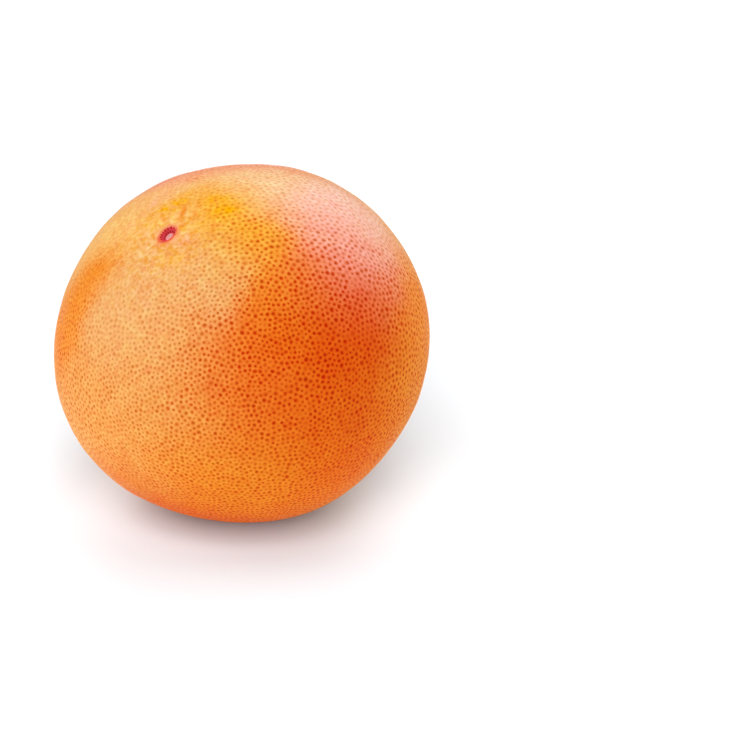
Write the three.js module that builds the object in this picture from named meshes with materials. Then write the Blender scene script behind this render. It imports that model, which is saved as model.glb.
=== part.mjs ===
// A whole pink grapefruit (pomelo), picked, lying on a table on a small flat spot.
// Millimetres, +Z up. The fruit is one grown solid: peel, pith and flesh are not parted.
// Its stem end leans over to -X and -Y, and the fruit bears on a small flat on its underside.
import * as THREE from "three";

// Driving dimensions
const EQUATOR_R = 52.63; // half the width across the cheeks
const POLE_R = 47.71; // half the height from stem end to blossom end
const STEM = new THREE.Vector3(-0.3732, -0.3998, 0.8372).normalize(); // way the stem end points
const LOWEST = new THREE.Vector3(0.138, -2.65, -48.27); // lowest point of the round body, from its middle
const FLAT_DEPTH = 1.1; // how far the underside is pressed flat
// Lopsidedness of the grown body: lobes of 1, 2, 3 ... waves round LOBE_AXIS, [cos, sin] in mm
const LOBE_AXIS = new THREE.Vector3(0.0612, -0.9166, 0.3951).normalize();
const LOBES = [
  [-0.097, 0.184],
  [0.54, -0.428],
  [-0.168, -0.144],
  [-0.097, 0.292],
  [0.187, -0.097],
  [0.14, 0],
];
// Stem end, by distance from its middle along the skin
const BASIN_DEPTH = 0.9,
  BASIN_R = 9.5; // shallow hollow round the stem scar
const RIM_HEIGHT = 0.22,
  RIM_R = 3.1,
  RIM_WIDTH = 0.9; // swollen lip of the scar
const SCAR_DEPTH = 1.25,
  SCAR_FLOOR_R = 1.3,
  SCAR_R = 2.5; // pit that the stalk left
const SCAR_OVAL = 0.13,
  SCAR_TURN = 2; // how much longer one way and narrower the other the pit is, and the bearing of its long way
const CORE_HEIGHT = 0.5,
  CORE_R = 1.08; // button left standing in the middle of the pit
// Furrows (and ridges, with a depth below 0) that run out from the stem end:
// [heading in degrees from the top of the fruit, shift aside, depth, half-width, start, end]
const FURROWS = [
  [21, -1.5, 0.45, 1.2, 3.6, 17],
  [30, 0.1, -0.26, 1.0, 3.6, 12],
  [-23, -1.8, -0.32, 1.0, 3.6, 18],
  [-21, 0.4, 0.22, 1.1, 5.5, 15],
  [-46, -1.4, 0.2, 1.5, 4, 17],
  [52, 0, 0.26, 1.7, 3.6, 14],
  [-96, 0, 0.16, 1.8, 3.8, 12],
  [-140, 0, 0.16, 1.7, 3.8, 11],
  [165, 0, 0.2, 1.8, 3.6, 12],
  [112, 0.6, -0.14, 1.1, 3.8, 13],
  [92, 0, 0.2, 1.5, 3.6, 13],
];
// Blossom end
const NAVEL_DEPTH = 0.5,
  NAVEL_R = 4.5; // slight hollow
const STYLE_DEPTH = 0.35,
  STYLE_R = 1.5; // scar that the style left
const MID_R = 50; // turns an angle from a pole into a distance along the skin

// Grid: rings from the stem end to the middle of the flat, in degrees from the stem end, with the points on each
const RINGS = [
  [0.7, 12],
  [1.3, 18],
  [1.8, 24],
  [2.3, 30],
  [2.8, 36],
  [3.3, 42],
  [4.0, 48],
  [5.0, 56],
  [6.3, 62],
  [8.0, 66],
  [10.2, 70],
  [12.8, 72],
  [15.6, 74],
  [18.4, 74],
];
for (let a = 21; a < 164; a += 3.85)
  RINGS.push([
    a,
    Math.max(56, Math.round(30 + 62 * Math.sin((a * Math.PI) / 180))),
  ]);
const FOOT_POINTS = 48; // corners of the flat's edge
const FOOT_RINGS = [
  [0.62, 30],
  [0.27, 12],
];

const smooth = (lo, hi, x) => {
  const t = Math.min(1, Math.max(0, (x - lo) / (hi - lo)));
  return t * t * (3 - 2 * t);
};
const bell = (x) => Math.exp(-x * x);

// Axes round the lobes and round the stem
const lobeRight = new THREE.Vector3(0, 0, 1).cross(LOBE_AXIS).normalize();
const lobeUp = LOBE_AXIS.clone().cross(lobeRight);
const stemUp = new THREE.Vector3(0, 0, 1)
  .addScaledVector(STEM, -STEM.z)
  .normalize(); // bearing 0 at the stem end: towards the top of the fruit
const stemSide = STEM.clone().cross(stemUp);

// Distance from the middle to the skin along the unit vector n
function radius(n) {
  const mu = n.dot(STEM);
  let r =
    1 / Math.sqrt((1 - mu * mu) / EQUATOR_R ** 2 + (mu * mu) / POLE_R ** 2);
  const x = n.dot(lobeRight),
    y = n.dot(lobeUp);
  let re = 1,
    im = 0;
  for (const [c, s] of LOBES) {
    [re, im] = [re * x - im * y, re * y + im * x];
    r += c * re + s * im;
  }
  const fromStem = MID_R * Math.acos(Math.min(1, Math.max(-1, mu)));
  if (fromStem < 40) {
    const bearing =
      (Math.atan2(n.dot(stemSide), n.dot(stemUp)) * 180) / Math.PI;
    const round = THREE.MathUtils.degToRad(bearing - SCAR_TURN);
    const inScar = fromStem / (1 + SCAR_OVAL * Math.cos(2 * round));
    r -= BASIN_DEPTH * bell(fromStem / BASIN_R);
    r += RIM_HEIGHT * bell((inScar - RIM_R) / RIM_WIDTH);
    r -= SCAR_DEPTH * (1 - smooth(SCAR_FLOOR_R, SCAR_R, inScar));
    r += CORE_HEIGHT * bell((inScar / CORE_R) ** 2);
    for (const [heading, shift, depth, half, start, end] of FURROWS) {
      const off = THREE.MathUtils.degToRad(bearing - heading);
      if (Math.cos(off) <= 0) continue;
      const along = fromStem * Math.cos(off),
        aside = fromStem * Math.sin(off) - shift;
      r -=
        depth *
        bell(aside / (half * (0.6 + (0.4 * along) / end))) *
        smooth(start * 0.6, start * 1.5, along) *
        (1 - smooth(end * 0.4, end, along));
    }
  }
  const fromNavel = MID_R * Math.acos(Math.min(1, Math.max(-1, -mu)));
  if (fromNavel < 20)
    r -=
      NAVEL_DEPTH * bell(fromNavel / NAVEL_R) +
      STYLE_DEPTH * (1 - smooth(STYLE_R * 0.6, STYLE_R * 1.2, fromNavel));
  return r;
}

// The grid's two poles are the stem end and the foot, which aren't opposite. A grid with opposite
// poles is squeezed towards the way between them, which keeps its rings round.
const down = LOWEST.clone().normalize();
const between = STEM.clone().add(down).normalize();
const north = STEM.clone()
  .addScaledVector(between, -STEM.dot(between))
  .normalize();
const east = between.clone().cross(north);
const squeeze = 1 / Math.tan(Math.acos(STEM.dot(between)) / 2);
function direction(alongDeg, roundDeg) {
  const a = THREE.MathUtils.degToRad(alongDeg),
    b = THREE.MathUtils.degToRad(roundDeg);
  const g = north
    .clone()
    .multiplyScalar(Math.cos(a))
    .addScaledVector(between, Math.sin(a) * Math.cos(b))
    .addScaledVector(east, Math.sin(a) * Math.sin(b));
  const wide = Math.acos(Math.min(1, Math.max(-1, g.dot(between))));
  const narrow = 2 * Math.atan(Math.tan(wide / 2) / squeeze);
  const out = g.addScaledVector(between, -g.dot(between));
  if (out.length() < 1e-12) return between.clone();
  return out
    .normalize()
    .multiplyScalar(Math.sin(narrow))
    .addScaledVector(between, Math.cos(narrow));
}

const footZ = LOWEST.z + FLAT_DEPTH;
const points = [],
  loops = [];
const addPoint = (v) => points.push(v) - 1;
const skin = (n) => n.clone().multiplyScalar(radius(n));

const top = addPoint(skin(STEM));
RINGS.forEach(([along, count], i) => {
  const loop = [];
  for (let k = 0; k < count; k++)
    loop.push(
      addPoint(skin(direction(along, ((k + 0.5 * (i % 2)) * 360) / count))),
    );
  loops.push(loop);
});
// The flat's edge: where the skin, followed towards the foot, comes down to the table
const foot = [];
for (let k = 0; k < FOOT_POINTS; k++) {
  const round = (k * 360) / FOOT_POINTS;
  let lo = 150,
    hi = 180; // above the table, below it
  for (let i = 0; i < 50; i++) {
    const mid = (lo + hi) / 2;
    if (skin(direction(mid, round)).z > footZ) lo = mid;
    else hi = mid;
  }
  const v = skin(direction(lo, round));
  v.z = footZ;
  foot.push(v);
}
const footMiddle = foot
  .reduce((sum, v) => sum.add(v), new THREE.Vector3())
  .divideScalar(FOOT_POINTS);
loops.push(foot.map(addPoint));
for (const [share, count] of FOOT_RINGS) {
  const loop = [];
  for (let k = 0; k < count; k++) {
    const at = (k / count) * FOOT_POINTS;
    const v = foot[Math.floor(at) % FOOT_POINTS]
      .clone()
      .lerp(foot[Math.ceil(at) % FOOT_POINTS], at % 1);
    loop.push(addPoint(footMiddle.clone().lerp(v, share)));
  }
  loops.push(loop);
}
const bottom = addPoint(footMiddle.clone());

// Joins each ring to the next with triangles, always across the shorter diagonal
const faces = [];
const gap = (a, b) => points[a].distanceToSquared(points[b]);
function join(upper, lower) {
  const n = upper.length,
    m = lower.length;
  let start = 0;
  for (let k = 1; k < m; k++)
    if (gap(upper[0], lower[k]) < gap(upper[0], lower[start])) start = k;
  let i = 0,
    j = 0;
  while (i < n || j < m) {
    const a = upper[i % n],
      b = lower[(start + j) % m];
    const a2 = upper[(i + 1) % n],
      b2 = lower[(start + j + 1) % m];
    if (j >= m || (i < n && gap(a2, b) <= gap(a, b2))) {
      faces.push([a, b, a2]);
      i++;
    } else {
      faces.push([a, b, b2]);
      j++;
    }
  }
}
loops[0].forEach((a, k) =>
  faces.push([top, a, loops[0][(k + 1) % loops[0].length]]),
);
for (let k = 0; k + 1 < loops.length; k++) join(loops[k], loops[k + 1]);
const last = loops[loops.length - 1];
last.forEach((a, k) => faces.push([bottom, last[(k + 1) % last.length], a]));

// Volume tells which way the faces point
let volume = 0;
for (const [a, b, c] of faces)
  volume += points[a].dot(points[b].clone().cross(points[c])) / 6;
if (volume < 0) faces.forEach((f) => f.reverse());

// Origin: under the middle of the fruit's box, on the surface it rests on
const box = new THREE.Box3().setFromPoints(points);
const origin = new THREE.Vector3(
  (box.min.x + box.max.x) / 2,
  (box.min.y + box.max.y) / 2,
  footZ,
);

const geometry = new THREE.BufferGeometry();
geometry.setAttribute(
  "position",
  new THREE.Float32BufferAttribute(
    points.flatMap((v) => [v.x - origin.x, v.y - origin.y, v.z - origin.z]),
    3,
  ),
);
geometry.setIndex(faces.flat());
geometry.computeVertexNormals();

const fruit = new THREE.Mesh(
  geometry,
  new THREE.MeshStandardMaterial({
    color: new THREE.Color().setRGB(0.94, 0.55, 0.2, THREE.SRGBColorSpace),
    roughness: 0.42,
    metalness: 0,
  }),
);
fruit.name = "pomelo_fruit";

const pomelo = new THREE.Group();
pomelo.name = "pomelo";
pomelo.add(fruit);

export default pomelo;
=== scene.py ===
import math

import bpy
import numpy as np
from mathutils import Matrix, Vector
from mathutils.geometry import delaunay_2d_cdt
from mathutils.kdtree import KDTree


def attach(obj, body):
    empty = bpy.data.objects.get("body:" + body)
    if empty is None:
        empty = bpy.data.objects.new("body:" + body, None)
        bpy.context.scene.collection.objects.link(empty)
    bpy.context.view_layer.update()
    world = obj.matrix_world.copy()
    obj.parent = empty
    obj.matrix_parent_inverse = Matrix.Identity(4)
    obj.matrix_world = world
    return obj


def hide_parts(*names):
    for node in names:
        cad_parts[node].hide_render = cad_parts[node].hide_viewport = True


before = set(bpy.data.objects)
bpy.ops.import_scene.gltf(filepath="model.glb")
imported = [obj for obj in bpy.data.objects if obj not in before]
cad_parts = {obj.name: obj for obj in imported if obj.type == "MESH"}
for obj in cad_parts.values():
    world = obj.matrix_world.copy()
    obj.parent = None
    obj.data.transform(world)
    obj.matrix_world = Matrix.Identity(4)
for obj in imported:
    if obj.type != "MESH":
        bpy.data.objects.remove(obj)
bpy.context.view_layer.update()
MM = 0.001
rng = np.random.default_rng(41)

# ---------------------------------------------------------------- the grown shape, in mm about its middle
MIDDLE = np.array([0.0917, -0.0938, 47.17])  # the body's middle in the row frame
EQUATOR_R, POLE_R, MID_R = 52.63, 47.71, 50.0
STEM = np.array([-0.3732, -0.3998, 0.8372])
STEM /= np.linalg.norm(STEM)
LOWEST = np.array([0.138, -2.65, -48.27])
LOBE_AXIS = np.array([0.0612, -0.9166, 0.3951])
LOBE_AXIS /= np.linalg.norm(LOBE_AXIS)
LOBES = [
    (-0.097, 0.184),
    (0.54, -0.428),
    (-0.168, -0.144),
    (-0.097, 0.292),
    (0.187, -0.097),
    (0.14, 0.0),
]
BASIN_DEPTH, BASIN_R = 0.9, 9.5
RIM_HEIGHT, RIM_R, RIM_WIDTH = 0.22, 3.1, 0.9
SCAR_DEPTH, SCAR_FLOOR_R, SCAR_R = 1.25, 1.3, 2.5
SCAR_OVAL, SCAR_TURN = 0.13, 2
CORE_HEIGHT, CORE_R = 0.5, 1.08
FURROWS = [  # heading, shift aside, depth, half-width, start, end
    (21, -1.5, 0.45, 1.2, 3.6, 17),
    (30, 0.1, -0.26, 1.0, 3.6, 12),
    (-23, -1.8, -0.32, 1.0, 3.6, 18),
    (-21, 0.4, 0.22, 1.1, 5.5, 15),
    (-46, -1.4, 0.2, 1.5, 4, 17),
    (52, 0, 0.26, 1.7, 3.6, 14),
    (-96, 0, 0.16, 1.8, 3.8, 12),
    (-140, 0, 0.16, 1.7, 3.8, 11),
    (165, 0, 0.2, 1.8, 3.6, 12),
    (112, 0.6, -0.14, 1.1, 3.8, 13),
    (92, 0, 0.2, 1.5, 3.6, 13),
]
NAVEL_DEPTH, NAVEL_R, STYLE_DEPTH, STYLE_R = 0.5, 4.5, 0.35, 1.5

UP = np.array([0.0, 0.0, 1.0])


def unit(v):
    return v / np.linalg.norm(v, axis=-1, keepdims=True)


LOBE_RIGHT = unit(np.cross(UP, LOBE_AXIS))
LOBE_UP = np.cross(LOBE_AXIS, LOBE_RIGHT)
STEM_UP = unit(UP - STEM * STEM[2])  # bearing 0 at the stem end: towards the top
STEM_SIDE = np.cross(STEM, STEM_UP)


def smooth(lo, hi, x):
    t = np.clip((x - lo) / (hi - lo), 0, 1)
    return t * t * (3 - 2 * t)


def bell(x):
    return np.exp(-x * x)


def around_stem(n):
    """Distance from the stem end along the skin in mm, and bearing round it in radians."""
    s = MID_R * np.arccos(np.clip(n @ STEM, -1, 1))
    return s, np.arctan2(n @ STEM_SIDE, n @ STEM_UP)


def in_scar(s, bearing):
    """Distance from the middle of the oval stalk scar, as if the scar were round."""
    return s / (1 + SCAR_OVAL * np.cos(2 * (bearing - math.radians(SCAR_TURN))))


def furrows(s, bearing):
    """Depth of the creases round the stem end."""
    depth = np.zeros_like(s)
    for heading, shift, deep, half, start, end in FURROWS:
        off = bearing - math.radians(heading)
        along, aside = s * np.cos(off), s * np.sin(off) - shift
        depth += np.where(
            along > 0,
            deep
            * bell(aside / (half * (0.6 + 0.4 * np.maximum(along, 0) / end)))
            * smooth(start * 0.6, start * 1.5, along)
            * (1 - smooth(end * 0.4, end, along)),
            0,
        )
    return depth


def radius(n):
    """Distance from the middle to the skin along each unit vector."""
    mu = n @ STEM
    r = 1 / np.sqrt((1 - mu**2) / EQUATOR_R**2 + mu**2 / POLE_R**2)
    z = (n @ LOBE_RIGHT) + 1j * (n @ LOBE_UP)
    w = np.ones_like(z)
    for c, s in LOBES:
        w = w * z
        r = r + c * w.real + s * w.imag
    s, bearing = around_stem(n)
    r = r - BASIN_DEPTH * bell(s / BASIN_R)
    o = in_scar(s, bearing)
    r = r + RIM_HEIGHT * bell((o - RIM_R) / RIM_WIDTH)
    r = r - SCAR_DEPTH * (1 - smooth(SCAR_FLOOR_R, SCAR_R, o))
    r = r + CORE_HEIGHT * bell((o / CORE_R) ** 2)
    r = r - furrows(s, bearing)
    b = MID_R * np.arccos(np.clip(-(n @ STEM), -1, 1))
    r = r - NAVEL_DEPTH * bell(b / NAVEL_R)
    r = r - STYLE_DEPTH * (1 - smooth(STYLE_R * 0.6, STYLE_R * 1.2, b))
    return r


def waves(n, length, count, seed):
    """Smooth noise over the skin, about -1 to 1, with features about `length` mm long."""
    g = np.random.default_rng(seed)
    k = unit(g.normal(size=(count, 3))) * (
        2 * math.pi * MID_R / length * g.uniform(0.6, 1.4, (count, 1))
    )
    return np.sin(n @ k.T + g.uniform(0, 2 * math.pi, count)).sum(1) * math.sqrt(
        2.0 / count
    ) * 0.6


# ---------------------------------------------------------------- oil glands: where each sits, how big, how dark
PITCH = 1.66  # mm from one gland to the next


def pitch(n):
    """Gland spacing over the skin: finer towards both ends and on the belly, wider on the top, uneven elsewhere."""
    s, _ = around_stem(n)
    b = MID_R * np.arccos(np.clip(-(n @ STEM), -1, 1))
    return (
        PITCH
        * (1 - 0.26 * bell(s / 10.0) - 0.2 * bell(b / 9.0))
        * (1 + 0.05 * waves(n, 20, 40, 3))
        * (1 - 0.13 * smooth(0.40, 0.85, n @ unit(np.array([0.05, -1.0, -0.15]))))
        * (1 + 0.07 * smooth(0.70, 0.95, n @ unit(np.array([0.35, -0.2, 0.9]))))
    )


def golden(count):
    i = np.arange(count) + 0.5
    z = 1 - 2 * i / count
    a = math.pi * (1 + 5**0.5) * i
    q = np.sqrt(1 - z * z)
    return np.stack([q * np.cos(a), q * np.sin(a), z], 1)


def neighbours(p, count):
    tree = KDTree(len(p))
    for i, v in enumerate(p):
        tree.insert(v, i)
    tree.balance()
    out = np.empty((len(p), count), np.int64)
    for i, v in enumerate(p):
        out[i] = [f[1] for f in tree.find_n(v, count + 1)[1:]]
    return out


area = 4 * math.pi * 50.95**2
finest = PITCH * 0.72
seeds = golden(int(area / (0.866 * finest**2)))
keep = rng.uniform(size=len(seeds)) < (finest / pitch(seeds)) ** 2
glands = unit(seeds[keep] + rng.normal(scale=0.35 * PITCH / MID_R, size=(keep.sum(), 3)))
s, _ = around_stem(glands)
b = MID_R * np.arccos(np.clip(-(glands @ STEM), -1, 1))
glands = glands[(s > 4.6) & (b > 3.4)]
bulk = np.clip(np.exp(rng.normal(0, 0.18, len(glands))), 0.66, 1.4)  # size of each gland
for step in range(18):
    if step % 3 == 0:
        near = neighbours(glands, 9)
    h = pitch(glands)
    reach = 1.32 * 0.5 * ((h * bulk**0.45)[:, None] + (h * bulk**0.45)[near]) / MID_R
    away = glands[:, None] - glands[near]
    dist = np.linalg.norm(away, axis=2) + 1e-9
    push = np.clip(1 - dist / reach, 0, 1) ** 1.5
    move = (away / dist[..., None] * (push * reach)[..., None]).sum(1)
    glands = unit(glands + 0.42 * move)
    # the rings of plain points at the two ends push back
    for pole, hole in ((STEM, 4.9), (-STEM, 3.7)):
        d = MID_R * np.arccos(np.clip(glands @ pole, -1, 1))
        inside = d < hole
        if inside.any():
            side = unit(glands[inside] - pole * (glands[inside] @ pole)[:, None])
            a = hole / MID_R
            glands[inside] = pole * math.cos(a) + side * math.sin(a)


def rings(pole, steps):
    """Plain points in rings round a pole, finer than the glands, for what sits there."""
    x = unit(np.cross(pole, np.array([0.3, 0.9, 0.1])))
    y = np.cross(pole, x)
    out = [pole]
    for i, (d, count) in enumerate(steps):
        a = (np.arange(count) + 0.5 * (i % 2)) * 2 * math.pi / count
        t = d / MID_R
        out += list(
            pole * math.cos(t)
            + math.sin(t) * (np.cos(a)[:, None] * x + np.sin(a)[:, None] * y)
        )
    return np.array(out)


def graded(first, grow, until, start=0.0):
    d, step, out = start, first, []
    while d + step < until:
        d += step
        out.append((d, max(6, int(round(2 * math.pi * d / step)))))
        if d > 3.0:
            step *= grow
    return out


stem_points = rings(STEM, graded(0.3, 1.3, 4.4))
navel_points = rings(-STEM, [(d, max(6, int(round(2 * math.pi * d / w)))) for d, w in ((0.4, 0.4), (0.8, 0.4), (1.2, 0.4), (1.6, 0.4), (2.05, 0.5), (2.6, 0.65))])
sites = np.concatenate([glands, stem_points, navel_points])
G = len(glands)

# Delaunay triangles on the ball: seen from one of the points (on the hidden foot), the others lie on a plane
foot = unit(LOWEST)
eye = int(np.argmax(sites[:G] @ foot))
order = np.array([i for i in range(len(sites)) if i != eye])
e = sites[eye]
ex = unit(np.cross(e, np.array([1.0, 0.2, 0.3])))
ey = np.cross(e, ex)
q = sites[order]
flat = np.stack([q @ ex, q @ ey], 1) / (1 - q @ e)[:, None]
_, _, tri, src, _, _ = delaunay_2d_cdt([Vector(v) for v in flat], [], [], 0, 1e-9)
src = [o[0] for o in src]
tri = np.array([[src[i] for i in t] for t in tri])
tri = order[tri]
edges = np.concatenate([tri[:, [0, 1]], tri[:, [1, 2]], tri[:, [2, 0]]])
have = set(map(tuple, edges.tolist()))
rim = [(a, c) for a, c in have if (c, a) not in have]
tri = np.concatenate([tri, np.array([(c, a, eye) for a, c in rim])])
# all faces outward
turn = np.einsum(
    "ij,ij->i",
    np.cross(sites[tri[:, 1]] - sites[tri[:, 0]], sites[tri[:, 2]] - sites[tri[:, 0]]),
    sites[tri[:, 0]],
)
tri[turn < 0] = tri[turn < 0][:, ::-1]

# Each triangle is cut in six about its middle, so every gland has a cell of its own, with a pit in it and a ridge
# round it. Big glands have big cells.
M, T = len(sites), len(tri)
grip = np.ones(M)
grip[:G] = bulk**0.5
pairs = np.sort(np.concatenate([tri[:, [0, 1]], tri[:, [1, 2]], tri[:, [2, 0]]]), axis=1)
pairs, which = np.unique(pairs, axis=0, return_inverse=True)
which = which.reshape(3, T)
E = len(pairs)
p_, q_ = pairs.T
share = (grip[p_] / (grip[p_] + grip[q_]))[:, None]
borders = unit(sites[p_] * (1 - share) + sites[q_] * share)
middles = unit((sites[tri] / grip[tri][..., None]).sum(1))
n = np.concatenate([sites, borders, middles])
A, B, C = tri.T
ab, bc, ca = M + which
c = M + E + np.arange(T)
faces = np.concatenate(
    [
        np.stack(v, 1)
        for v in ((A, ab, c), (ab, B, c), (B, bc, c), (bc, C, c), (C, ca, c), (ca, A, c))
    ]
)
owner = np.concatenate([A, B, B, C, C, A])  # the gland, or plain point, whose cell each face is in

# ---------------------------------------------------------------- the skin in relief
strength = np.clip(0.80 + 0.2 * rng.normal(size=G), 0.25, 1.1) * np.clip(bulk, 0.75, 1.15)
strength = np.clip(strength, 0.1, 1.0)
s, bearing = around_stem(n)
calm = 1 - 0.75 * bell(s / 9.0)  # glands are shallow and faint round the stem
body = radius(n)
body = body + 0.10 * waves(n, 26, 30, 11) + 0.045 * waves(n, 9, 50, 12) * (1 - bell(s / 4))
depth = np.zeros(len(n))
depth[:G] = (0.12 * bulk**0.7 * (0.6 + 0.5 * strength))[:G] * calm[:G]
depth[M + E :] = -0.008 * calm[M + E :]  # the ridges stand up where they meet
# the pit of the stalk: a raised, uneven core and two rows of bundle scars up its wall
o = in_scar(s, bearing)
core = -0.10 * bell((o - 1.42) / 0.14)
core += 0.06 * (o < 1.2) * waves(n, 0.9, 40, 21)
rows = []
for at, count, width, phase in ((1.66, 15, 0.17, 0.2), (2.22, 15, 0.21, 0.7)):
    turn = (bearing / (2 * math.pi) * count + phase) % 1 - 0.5
    aside = turn * 2 * math.pi * at / count
    rows.append(np.exp(-((o - at) ** 2 + aside**2) / width**2))
core = core - 0.13 * rows[0] - 0.12 * rows[1]
body = body + np.where(o < 3.2, core * (1 - smooth(2.6, 3.2, o)), 0)
points = MIDDLE + n * body[:, None]
# the foot, pressed flat on the table
points[:, 2] = 0.5 * (points[:, 2] + np.sqrt(points[:, 2] ** 2 + 0.2**2))
points = points - n * depth[:, None]

me = bpy.data.meshes.new("pomelo_rind")
me.vertices.add(len(points))
me.vertices.foreach_set("co", (points * MM).astype(np.float32).ravel())
me.loops.add(len(faces) * 3)
me.loops.foreach_set("vertex_index", faces.astype(np.int32).ravel())
me.polygons.add(len(faces))
me.polygons.foreach_set("loop_start", np.arange(0, len(faces) * 3, 3, dtype=np.int32))
me.polygons.foreach_set("loop_total", np.full(len(faces), 3, np.int32))
me.polygons.foreach_set("use_smooth", np.ones(len(faces), bool))
me.update(calc_edges=True)
me.validate()
rind = bpy.data.objects.new("pomelo_rind", me)
bpy.context.scene.collection.objects.link(rind)


def point_values(name, values):
    values = np.asarray(values, np.float32)
    if values.ndim == 1:
        me.attributes.new(name, "FLOAT", "POINT").data.foreach_set("value", values)
    else:
        rgba = np.concatenate([values, np.ones((len(values), 1), np.float32)], 1)
        me.attributes.new(name, "FLOAT_COLOR", "POINT").data.foreach_set(
            "color", rgba.ravel()
        )


# ---------------------------------------------------------------- colours of the skin, linear, with painted light and shade among them
# A short palette of rind colours, some laid on as painted sheen, reflection and shade; every zone and patch below
# takes one of them
GOLD = (0.95, 0.43, 0.0)
YELLOW = (1.0, 0.60, 0.20)
PALE = (0.95, 0.65, 0.35)
PEACH = (0.90, 0.50, 0.20)
PINK_AND_SHEEN = (1.0, 0.65, 0.55)
CORAL = (1.0, 0.40, 0.30)
AMBER = (0.90, 0.40, 0.10)
ORANGE = (0.95, 0.30, 0.02)
DEEP = (0.90, 0.15, 0.005)
RED = (0.80, 0.07, 0.0)
ZONES = [  # where, how wide in degrees, weight, colour
    ((-0.13, -0.25, 0.95), 10, 2.4, GOLD),  # golden shoulder behind the stem end
    ((-0.3, -0.2, 0.9), 12, 1, PALE),  # crown round the scar
    ((-0.65, -0.05, 0.75), 16, 1, YELLOW),  # yellow shoulder
    ((-0.75, -0.3, 0.55), 7, 1.2, ORANGE),  # orange band down the left side, partly painted shade: the darker gap beside the painted reflection of the left softboxes
    ((-0.85, -0.3, 0.4), 7, 2, ORANGE),
    ((-0.9, -0.3, 0.2), 7, 2, ORANGE),
    ((-0.55, -0.65, 0.5), 18, 1, PEACH),  # pale flank: peach skin lightened by a painted reflection of the left softboxes, here and in the next zone
    ((-0.15, -0.68, 0.73), 12, 0.9, PEACH),
    ((0.08, -0.56, 0.82), 12, 0.55, GOLD),  # golden band between the pale flank and the red cheek
    ((0.1, -0.05, 1.0), 13, 1, PALE),  # pale top
    ((-0.45, 0.3, 0.85), 13, 0.7, CORAL),  # rosy rim behind the crown and the top: a painted rim light along the upper outline, here and in the next zone
    ((0.1, 0.4, 0.9), 13, 0.7, CORAL),
    ((0.6, -0.1, 0.8), 15, 1.2, PINK_AND_SHEEN),  # pink blush, whitened by a painted sheen from the back right
    ((0.6, -0.4, 0.7), 15, 1, CORAL),  # its lower, redder border, where the painted sheen fades
    ((0.54, -0.72, 0.43), 19, 1.75, RED),  # red cheek, deepened by painted shade and a painted red cast of reflected light
    ((0.33, -0.74, 0.60), 13, 1, ORANGE),  # orange above it
    ((0.07, -1.0, 0.22), 18, 0.95, DEEP),  # deep orange belly
    ((-0.35, -0.95, 0.15), 20, 1, AMBER),  # amber to its left
    ((-0.7, -0.65, -0.25), 20, 1, AMBER),  # low left
    ((-0.05, -0.95, -0.35), 20, 1, ORANGE),  # low front
    ((0.5, -0.85, -0.15), 20, 1, DEEP),  # low right
    ((-0.2, -0.53, -0.83), 20, 2.4, DEEP),  # deeper again under the belly: painted shade along the underside
    ((0.95, -0.2, 0.1), 24, 1, ORANGE),  # the right side
    ((0.7, 0.55, 0.45), 24, 1, PEACH),  # the back: paler patches
    ((0.75, 0.6, -0.25), 20, 1, AMBER),
    ((0.05, 0.8, 0.6), 22, 1, YELLOW),
    ((0.1, 1.0, -0.1), 22, 1, ORANGE),
    ((-0.6, 0.7, 0.35), 22, 1, PEACH),
    ((-0.75, 0.6, -0.3), 22, 1, ORANGE),
    ((0.3, 0.3, -0.9), 24, 1, AMBER),  # the underside
]

PATCHES = [  # round the stem end, in mm ahead (towards the top) and aside: heading, long, wide, weight, colour
    (16, -3.6, -50, 3.8, 2.1, 1.0, GOLD),  # a pair of golden patches
    (14.5, -10, -40, 4.4, 2.6, 1.0, GOLD),
    (9.0, 6.6, -15, 9, 4.4, 0.8, GOLD),  # freckled gold on the other side of the groove
    (-6.5, -7.5, -70, 5, 3.0, 0.5, YELLOW),  # yellow below the scar
    (-6.5, -7.5, -70, 4.6, 2.5, 0.35, GOLD),
    (-17, 18, 125, 5, 2.4, 0.8, ORANGE),  # upper end of the orange band, partly painted shade
    (0, -6.5, -80, 2.6, 2.4, 0.3, CORAL),  # flush beside the scar
    (9.5, 14, 0, 5, 2.6, 0.3, CORAL),  # flush on the far side
]
LOW_SIDE = -128


def lobe(at, wide, p):
    """1 near a place on the skin, given as a direction, fading over `wide` degrees."""
    off = np.degrees(np.arccos(np.clip(p @ unit(np.array(at, float)), -1, 1)))
    return np.exp(-((off / wide) ** 2))


def blend(a, b, t):
    t = np.clip(t, 0, 1)[:, None]
    return a * (1 - t) + np.asarray(b, float) * t


# zones with wandering borders
strayed = unit(
    n
    + 0.035 * np.stack([waves(n, 26, 30, k) for k in (51, 52, 53)], 1)
    + 0.018 * np.stack([waves(n, 9, 40, k) for k in (54, 55, 56)], 1)
)
weight = np.full(len(n), 0.12)
tint = weight[:, None] * np.array(ORANGE)
for at, wide, much, colour in ZONES:
    w = much * lobe(at, wide, strayed)
    weight += w
    tint += w[:, None] * np.array(colour)
tint /= weight[:, None]
# patches of more and less red pigment, a few glands across
patchy = waves(n, 7, 60, 61) + 0.6 * waves(n, 14, 40, 62)
red = 1 - smooth(0.20, 0.56, tint[:, 1])  # how deep the colour already is
tint *= 1 + 0.035 * patchy[:, None] * np.array([0.15, 1.0, 1.3])
tint[:, 1] *= 1 + 0.03 * waves(n, 3.2, 80, 63)
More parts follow.
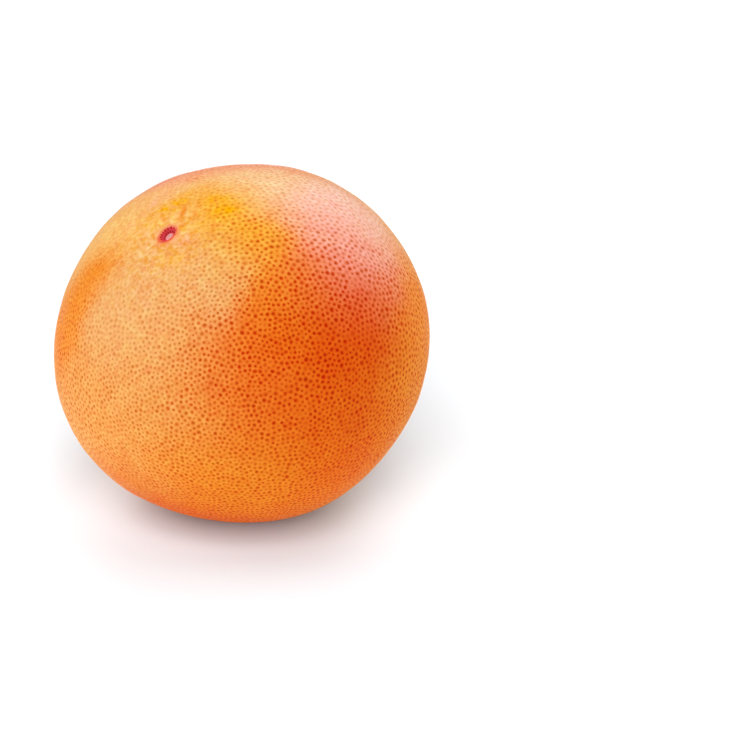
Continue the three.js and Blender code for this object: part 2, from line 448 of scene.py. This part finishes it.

# round the stem end: mottling instead of clear glands, ridges made paler as a painted highlight, creases made
# deeper orange as painted shade, thin streaks that run out
near = bell(s / 19.0)
point_values("near", near * smooth(2.8, 4.0, s))
mottle = 0.6 * waves(n, 1.9, 90, 91) + 0.5 * waves(n, 3.6, 70, 92)
tint *= 1 + (mottle * (0.05 + 0.2 * near))[:, None] * np.array([0.1, 1.0, 2.0])
ahead, aside = s * np.cos(bearing), s * np.sin(bearing)
for x, y, heading, long, wide, much, colour in PATCHES:
    h = math.radians(heading)
    u = (ahead - x) * math.cos(h) + (aside - y) * math.sin(h)
    v = (aside - y) * math.cos(h) - (ahead - x) * math.sin(h)
    tint = blend(tint, colour, much * (1 + 0.7 * mottle) * np.exp(-((u / long) ** 2) - (v / wide) ** 2) * (s < 40))
crease = furrows(s, bearing)
# painted shade in the creases, deeper orange; painted highlight on the raised ridges between them, paler
tint = blend(tint, (0.92, 0.27, 0.015), 0.85 * smooth(0.14, 0.36, crease) * smooth(3.5, 8, s))
tint = blend(tint, (1.0, 0.70, 0.28), 3.0 * np.maximum(-crease, 0) ** 2)
streak = np.zeros(len(n))
g_ = np.random.default_rng(71)
for _ in range(26):
    k, at = int(g_.integers(5, 34)), g_.uniform(0, 2 * math.pi)
    streak += np.sin(k * bearing + at + 0.35 * waves(n, 8, 12, int(g_.integers(1e6)))) / 5.1
tint *= 1 + (0.065 * streak * bell((s - 7) / 6.5))[:, None] * np.array([0.1, 1.0, 1.3])

# the stalk scar: halo, red lip, pit wall with two rows of bundle scars, pale core
low = 0.5 + 0.5 * np.cos(bearing - math.radians(LOW_SIDE))  # the lip is heavier on its low side
tint = blend(tint, (0.96, 0.36, 0.17), (0.35 + 0.5 * low) * bell((o - 3.0) / (0.6 + 0.8 * low)))
tint = blend(tint, (0.84, 0.09, 0.04), (0.45 + 0.6 * low) * bell((o - 2.72) / (0.16 + 0.36 * low)))
tint = blend(tint, (0.87, 0.09, 0.11), 1 - smooth(2.3, 2.6, o))
tint = blend(tint, (0.40, 0.003, 0.006), 1.4 * rows[1] * (o < 3))
tint = blend(tint, (0.22, 0.003, 0.02), 1.4 * rows[0] * (o < 3))
core_colour = blend(
    np.tile([0.95, 0.50, 0.52], (len(n), 1)), (0.98, 0.44, 0.40), 0.5 + 0.7 * waves(n, 0.9, 40, 21)
)
core_colour = blend(core_colour, (0.58, 0.36, 0.33), 0.9 * bell(o / 0.5))
inside = 1 - smooth(1.02, 1.24, o)
tint = tint * (1 - inside[:, None]) + core_colour * inside[:, None]

# the stylar scar at the far end
b = MID_R * np.arccos(np.clip(-(n @ STEM), -1, 1))
tint = blend(tint, (0.80, 0.36, 0.10), 0.6 * bell(b / 4.5))
tint = blend(tint, (0.22, 0.10, 0.04), 0.9 * (1 - smooth(1.0, 1.7, b)))
tint = np.clip(tint, 0, 1)
point_values("tint", tint)
point_values("pink", smooth(0.10, 0.45, tint[:, 2]))
point_values("pale", smooth(0.33, 0.53, tint[:, 1]) * smooth(0.03, 0.14, tint[:, 2]))

# what the glands do to the colour
flock = waves(n[:G], 8, 60, 81)  # neighbours are alike, in flocks of strong and faint ones
vigour = (  # strongest on the front shoulder, faint on the pale one
    0.9
    + 0.35 * lobe((0.33, -0.78, 0.52), 28, n[:G])
    - 0.42 * lobe((-0.62, -0.30, 0.72), 30, n[:G])
    - 0.2 * lobe((0.0, -0.10, 0.99), 18, n[:G])
    - 0.12 * lobe((-0.55, -0.80, -0.20), 30, n[:G])
    # fainter under the painted sheen of the pink blush
    - 0.22 * lobe((0.64, -0.10, 0.78), 24, n[:G])
    - 0.25 * lobe((-0.55, 0.16, 0.82), 24, n[:G])
    - 0.30 * lobe((-0.45, -0.60, -0.66), 20, n[:G])
    - 0.15 * lobe((-0.62, -0.55, 0.55), 20, n[:G])
)
gland_dark = np.clip(1.0 * strength * vigour * (1 + 0.07 * flock), 0.05, 1.15)
gland_dark *= 1 - 0.8 * bell(s[:G] / 13.0)
gland_hue = np.clip(
    0.5 * red[:G] + 0.36 + 0.16 * waves(n[:G], 6, 60, 82) + 0.12 * rng.normal(size=G), 0, 1
)


def corner_values(name, values):
    """A number at each corner of each face; one a face is repeated."""
    values = np.asarray(values, np.float32)
    if values.ndim == 1:
        values = np.repeat(values[:, None], 3, axis=1)
    me.attributes.new(name, "FLOAT", "CORNER").data.foreach_set("value", values.ravel())


# how far each corner is from the middle of its own gland, in gland radii
is_gland = owner < G
mine = np.where(is_gland, owner, 0)
gland_r = 0.385 * bulk**0.9 * pitch(glands) / PITCH * (1 + 0.22 * red[:G])
off = MID_R * np.linalg.norm(n[faces] - sites[owner][:, None], axis=2) / gland_r[mine][:, None]
corner_values("gland_off", np.where(is_gland[:, None], off, 9.0))
corner_values("gland_dark", np.where(is_gland, gland_dark[mine], 0.0))
corner_values("gland_hue", np.where(is_gland, gland_hue[mine], 0.0))

# ---------------------------------------------------------------- the map: six sides of a box in line with the stem
frame_axes = np.stack([STEM_UP, STEM_SIDE, STEM])
local = n @ frame_axes.T
mid = unit(local[faces].sum(1))
side = np.argmax(np.abs(mid), axis=1)
cell = side * 2 + (mid[np.arange(len(faces)), side] > 0)
corner = local[faces]  # faces, corners, axes
pick = np.arange(len(faces))
depth_ = np.abs(corner[pick, :, side])
across = corner[pick, :, (side + 1) % 3]
along = corner[pick, :, (side + 2) % 3]
uv = np.stack([np.arctan2(across, depth_), np.arctan2(along, depth_)], 2) * 4 / math.pi
uv = 0.5 + 0.5 * 0.94 * uv  # cells keep a margin
uv = (uv + np.stack([cell % 3, cell // 3], 1)[:, None]) / np.array([3.0, 2.0])
me.uv_layers.new(name="OFBake").uv.foreach_set("vector", uv.astype(np.float32).ravel())

# ---------------------------------------------------------------- finish
mat = bpy.data.materials.new("rind")
mat.use_nodes = True
nt = mat.node_tree
nt.nodes.clear()
out = nt.nodes.new("ShaderNodeOutputMaterial")
skin = nt.nodes.new("ShaderNodeBsdfPrincipled")
nt.links.new(skin.outputs[0], out.inputs["Surface"])
place = nt.nodes.new("ShaderNodeTexCoord").outputs["Object"]


def attr(name, kind="Fac"):
    m = nt.nodes.new("ShaderNodeAttribute")
    m.attribute_name = name
    return m.outputs[kind]


def math_(op, a, b=None, c=None, clamp=False):
    m = nt.nodes.new("ShaderNodeMath")
    m.operation = op
    m.use_clamp = clamp
    for i, v in enumerate((a, b, c)):
        if v is None:
            continue
        if isinstance(v, (int, float)):
            m.inputs[i].default_value = v
        else:
            nt.links.new(v, m.inputs[i])
    return m.outputs[0]


def mix(fac, a, b, how="MIX"):
    m = nt.nodes.new("ShaderNodeMix")
    m.data_type = "RGBA"
    m.blend_type = how
    m.clamp_factor = True
    for i, v in ((0, fac), (6, a), (7, b)):
        if isinstance(v, (int, float)):
            m.inputs[i].default_value = v
        elif isinstance(v, tuple):
            m.inputs[i].default_value = (*v, 1.0)
        else:
            nt.links.new(v, m.inputs[i])
    return m.outputs[2]


def step_(lo, hi, value, to=(0.0, 1.0), kind="SMOOTHSTEP"):
    m = nt.nodes.new("ShaderNodeMapRange")
    m.interpolation_type = kind
    m.inputs["From Min"].default_value = lo
    m.inputs["From Max"].default_value = hi
    m.inputs["To Min"].default_value, m.inputs["To Max"].default_value = to
    nt.links.new(value, m.inputs["Value"])
    return m.outputs["Result"]


def noise(mm, detail=2.0, rough=0.5):
    """Noise with features about `mm` across, 0 to 1."""
    m = nt.nodes.new("ShaderNodeTexNoise")
    m.normalize = True
    m.inputs["Scale"].default_value = 1000.0 / mm / 2
    m.inputs["Detail"].default_value = detail
    m.inputs["Roughness"].default_value = rough
    nt.links.new(place, m.inputs["Vector"])
    return m.outputs["Fac"]


# between the glands: the zone's colour with a fine grain
skin_colour = attr("tint", "Color")
grain = step_(0.3, 0.7, noise(1.1, 3.0))
skin_colour = mix(grain, skin_colour, mix(1.0, skin_colour, (0.99, 0.90, 0.86), "MULTIPLY"))
fine = math_("MULTIPLY", step_(0.42, 0.62, noise(0.55, 1.0)), step_(0.0, 1.0, attr("near"), (1.0, 0.5)))
skin_colour = mix(
    fine,
    mix(1.0, skin_colour, (1.0, 1.04, 1.06), "MULTIPLY"),
    mix(1.0, skin_colour, (0.97, 0.90, 0.84), "MULTIPLY"),
)
freckle = math_("MULTIPLY", step_(0.46, 0.62, noise(0.72, 2.0, 0.6)), attr("near"))
skin_colour = mix(freckle, skin_colour, mix(1.0, skin_colour, (0.95, 0.78, 0.26), "MULTIPLY"))
fleck = math_("MULTIPLY", step_(0.5, 0.70, noise(1.3, 3.0, 0.6)), attr("near"))
skin_colour = mix(fleck, skin_colour, mix(1.0, skin_colour, (1.02, 1.15, 1.20), "MULTIPLY"))
# the glands: dark pits, olive brown in pale skin and red in deep skin, their own colour darkened further as painted
# shade, with a pale network of ridges between them, partly lighter skin and partly a painted highlight
edge = math_("MULTIPLY_ADD", noise(0.5, 2.0), 1.5, -0.75)
rim_at = math_("ADD", attr("gland_off"), edge)
g = step_(0.3, 1.55, rim_at, (1.0, 0.0))
ridge_highlight = step_(1.15, 1.95, rim_at)
# painted highlight on the ridges: the tone they are lightened by, whitest in the painted sheen of the pink blush
ridge_highlight_tone = mix(attr("pink"), (1.03, 1.26, 1.6), (1.03, 1.20, 1.30))
ridge_highlight_tone = mix(attr("pale"), ridge_highlight_tone, (1.03, 1.12, 1.16))
skin_colour = mix(
    math_("MULTIPLY", ridge_highlight, attr("gland_dark")),
    skin_colour,
    mix(1.0, skin_colour, ridge_highlight_tone, "MULTIPLY"),
)
# the pits: the glands' own colour, darkened further as painted shade
pit = mix(attr("gland_hue"), (0.78, 0.52, 0.20), (0.86, 0.24, 0.02))
pit = mix(attr("pink"), pit, (0.80, 0.45, 0.38))
pit = mix(attr("pale"), pit, (0.85, 0.65, 0.50))
pit_colour_and_shade = mix(1.0, attr("tint", "Color"), pit, "MULTIPLY")
base = mix(math_("MULTIPLY", g, attr("gland_dark")), skin_colour, pit_colour_and_shade)
core_at = math_("MULTIPLY", step_(0.0, 0.95, rim_at, (1.0, 0.0)), attr("gland_dark"))
core_tone = mix(attr("pale"), (0.73, 0.57, 0.46), (0.86, 0.75, 0.66))
base = mix(core_at, base, mix(1.0, base, core_tone, "MULTIPLY"))
nt.links.new(base, skin.inputs["Base Color"])
# gloss: waxy, rougher in the pits
wax = step_(0.25, 0.75, noise(2.6, 2.0), (0.36, 0.50), "LINEAR")
nt.links.new(math_("MULTIPLY_ADD", g, 0.12, wax), skin.inputs["Roughness"])
skin.inputs["Specular IOR Level"].default_value = 0.03
bump = nt.nodes.new("ShaderNodeBump")
bump.inputs["Strength"].default_value = 0.35
bump.inputs["Distance"].default_value = 0.00006
nt.links.new(noise(0.45, 2.0), bump.inputs["Height"])
nt.links.new(bump.outputs["Normal"], skin.inputs["Normal"])
me.materials.append(mat)

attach(rind, "root")
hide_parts("pomelo_fruit")

# ---------------------------------------------------------------- camera, floor and light
camera_data = bpy.data.cameras.new("camera")
camera_data.lens, camera_data.sensor_width = 100, 36
camera_data.clip_end = 50
camera = bpy.data.objects.new("camera", camera_data)
camera.location = Vector((MIDDLE + np.array([35.056, -525.011, 226.302])) * MM)
camera.rotation_euler = (math.radians(66), 0, 0)
bpy.context.scene.collection.objects.link(camera)
bpy.context.scene.camera = camera
bpy.context.scene.view_settings.view_transform = "Standard"

floor_mesh = bpy.data.meshes.new("floor")
floor_mesh.from_pydata(
    [(-4, -4, 0), (4, -4, 0), (4, 4, 0), (-4, 4, 0)], [], [(0, 1, 2, 3)]
)
floor = bpy.data.objects.new("floor", floor_mesh)
bpy.context.scene.collection.objects.link(floor)
floor_mat = bpy.data.materials.new("floor")
floor_mat.use_nodes = True
floor_skin = floor_mat.node_tree.nodes["Principled BSDF"]
floor_skin.inputs["Base Color"].default_value = (0.42, 0.43, 0.443, 1)
floor_skin.inputs["Roughness"].default_value = 0.9
floor_skin.inputs["Specular IOR Level"].default_value = 0.1
# far from the fruit the table glows, so that it stays pale to the horizon in low views
ft = floor_mat.node_tree
spot = ft.nodes.new("ShaderNodeTexCoord")
reach_ = ft.nodes.new("ShaderNodeVectorMath")
reach_.operation = "LENGTH"
glow = ft.nodes.new("ShaderNodeMapRange")
glow.interpolation_type = "SMOOTHSTEP"
glow.inputs["From Min"].default_value = 0.62
glow.inputs["From Max"].default_value = 1.3
ft.links.new(spot.outputs["Object"], reach_.inputs[0])
ft.links.new(reach_.outputs["Value"], glow.inputs["Value"])
ft.links.new(glow.outputs["Result"], floor_skin.inputs["Emission Strength"])
floor_skin.inputs["Emission Color"].default_value = (1, 1, 1, 1)
floor_mesh.materials.append(floor_mat)

# The studio: an even grey surround and softboxes, the strongest to the front left; some are flagged off the table
# and the others off the fruit
world = bpy.data.worlds.new("world")
bpy.context.scene.world = world
world.use_nodes = True
wt = world.node_tree
wt.nodes["Background"].inputs["Color"].default_value = (1, 1, 1, 1)
wt.nodes["Background"].inputs["Strength"].default_value = 0.1
# the backdrop behind it is plain white, and lights nothing
backdrop = wt.nodes.new("ShaderNodeBackground")
either = wt.nodes.new("ShaderNodeMixShader")
seen = wt.nodes.new("ShaderNodeLightPath")
wt.links.new(seen.outputs["Is Camera Ray"], either.inputs["Fac"])
wt.links.new(wt.nodes["Background"].outputs[0], either.inputs[1])
wt.links.new(backdrop.outputs[0], either.inputs[2])
wt.links.new(either.outputs[0], wt.nodes["World Output"].inputs["Surface"])
backdrop.inputs["Color"].default_value = (1, 1, 1, 1)
backdrop.inputs["Strength"].default_value = 1.0


def only(name, what):
    group = bpy.data.collections.new(name)
    group.objects.link(what)
    return group


on_fruit, on_floor = only("on_fruit", rind), only("on_floor", floor)
floor.light_linking.receiver_collection = on_floor


def softbox(name, turn, lift, power, on=None, away=1.3, size=0.9):
    """A square light that faces the fruit; turn 0 is to its right, 90 behind it."""
    data = bpy.data.lights.new(name, "AREA")
    data.shape = "SQUARE"
    data.size = size
    data.energy = power
    lamp = bpy.data.objects.new(name, data)
    turn, lift = math.radians(turn), math.radians(lift)
    way = Vector(
        (math.cos(lift) * math.cos(turn), math.cos(lift) * math.sin(turn), math.sin(lift))
    )
    lamp.location = Vector(MIDDLE * MM) + way * away
    lamp.rotation_euler = way.to_track_quat("Z", "Y").to_euler()
    bpy.context.scene.collection.objects.link(lamp)
    if on is not None:
        lamp.light_linking.receiver_collection = on
    return lamp


softbox("key", 225, 42, 8.2, on_fruit)
softbox("top", 0, 75, 6.7, on_fruit)
softbox("back_right", 45, 42, 6.8, on_fruit)
softbox("low_left", 180, 12, 4.4, on_fruit)
softbox("low_right", 315, 12, 2.6, on_fruit)
softbox("table_front", 270, 42, 31.2, on_floor)
softbox("table_low_front", 270, 12, 22.4, on_floor)
softbox("table_back", 90, 12, 35.5, on_floor)
softbox("table_left", 180, 42, 9.6, on_floor)
softbox("table_top", 0, 75, 10.5, on_floor)
